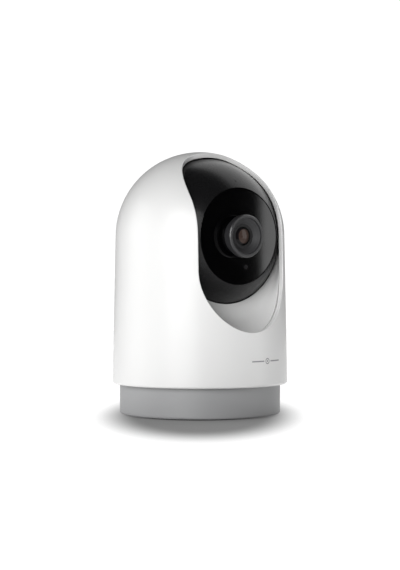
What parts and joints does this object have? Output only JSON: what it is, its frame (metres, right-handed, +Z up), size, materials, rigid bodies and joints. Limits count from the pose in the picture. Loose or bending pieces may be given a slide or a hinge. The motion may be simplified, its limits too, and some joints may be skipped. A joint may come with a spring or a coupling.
{
  "type": "security camera",
  "caption": "Indoor pan and tilt camera: a bullet-shaped white housing turns on a round grey base, and a black ball head with a glossy window and lens nods in its front slot.",
  "frame": {"origin": "centre of the face that the camera stands on, on the pan axis", "axes": "+Z up along the pan axis; the lens looks along -Y at rest; +X is the tilt axis"},
  "size_m": [0.078, 0.078, 0.117],
  "materials": {
    "white_shell": "fine satin injection moulded plastic, white",
    "grey_plastic": "fine matt moulded plastic, mid grey",
    "soft_rubber": "matt black rubber",
    "brass": "turned brass",
    "steel": "zinc plated steel",
    "gear_plastic": "natural acetal",
    "frame_plastic": "black moulded plastic",
    "circuit_board": "green solder mask",
    "chip": "black epoxy",
    "tin": "tinned sheet",
    "head_black": "satin black moulded plastic",
    "window_black": "polished infrared-pass black acrylic",
    "bezel_grey": "dark grey anodised ring",
    "barrel_black": "black anodised aluminium",
    "lens_glass": "coated optical glass",
    "cable": "soft vinyl cable jacket",
    "lamp": "clear epoxy lamp",
    "foam": "closed cell foam"
  },
  "bodies": {
    "base": {"base_shell": "grey_plastic", "base_plate": "grey_plastic", "foot_ring": "soft_rubber", "tripod_insert": "brass", "ballast_plate": "steel", "base_screws": "steel", "pan_sun_gear": "gear_plastic", "gear_screws": "steel", "usb_board": "circuit_board", "usb_socket": "tin", "reset_switch": "chip", "power_harness": "cable"},
    "reset_button": {"reset_button": "grey_plastic"},
    "housing": {"outer_shell": "white_shell", "scoop_liner": "white_shell", "turntable": "frame_plastic", "shell_screws": "steel", "yoke": "frame_plastic", "yoke_screws": "steel", "trunnion_bushes": "gear_plastic", "tilt_gear": "gear_plastic", "pan_motor": "steel", "pan_motor_screws": "steel", "main_board": "circuit_board", "board_screws": "steel", "main_chip": "chip", "shield_can": "tin", "wifi_antenna": "circuit_board", "speaker": "chip", "speaker_gasket": "foam", "head_cable": "cable"},
    "pan_pinion": {"pan_pinion": "gear_plastic"},
    "head": {"head_front_cover": "head_black", "head_rear_cover": "head_black", "head_screws": "steel", "trunnions": "steel", "tilt_motor": "steel", "tilt_motor_screws": "steel", "window": "window_black", "lens_hood": "window_black", "lens_bezel": "bezel_grey", "lens_barrel": "barrel_black", "front_element": "lens_glass", "middle_element": "lens_glass", "rear_element": "lens_glass", "lens_spacers": "barrel_black", "lens_holder": "frame_plastic", "filter_coil": "chip", "image_sensor": "chip", "sensor_board": "circuit_board", "sensor_screws": "steel", "ir_board": "circuit_board", "ir_leds": "lamp", "light_sensor": "chip", "status_led": "lamp", "microphone": "tin"},
    "tilt_pinion": {"tilt_pinion": "gear_plastic"},
    "ir_filter": {"filter_frame": "frame_plastic", "filter_panes": "lens_glass"}
  },
  "joints": [
    {"name": "pan", "type": "hinge", "parent": "base", "child": "housing", "pos_m": [0, 0, 0.0194], "axis": [0, 0, 1], "range_deg": [-175, 175]},
    {"name": "tilt", "type": "hinge", "parent": "housing", "child": "head", "pos_m": [0, 0, 0.0793], "axis": [-1, 0, 0], "range_deg": [-20, 60]},
    {"name": "pan_pinion_spin", "type": "hinge", "parent": "housing", "child": "pan_pinion", "pos_m": [0, -0.0193, 0.0222], "axis": [0, 0, 1], "range_deg": [-526, 526]},
    {"name": "tilt_pinion_spin", "type": "hinge", "parent": "head", "child": "tilt_pinion", "pos_m": [0.0293, 0.0121, 0.0793], "axis": [-1, 0, 0], "range_deg": [-47, 141]},
    {"name": "reset_press", "type": "slide", "parent": "base", "child": "reset_button", "axis": [0, -1, 0], "range_m": [0, 0.0005], "stiffness_N_per_m": 600, "springref_m": -0.001},
    {"name": "filter_slide", "type": "slide", "parent": "head", "child": "ir_filter", "axis": [1, 0, 0], "range_m": [0, 0.0062]}
  ],
  "couplings": [
    {"joint": "pan_pinion_spin", "follows": "pan", "ratio": 3},
    {"joint": "tilt_pinion_spin", "follows": "tilt", "ratio": 2.3333}
  ]
}
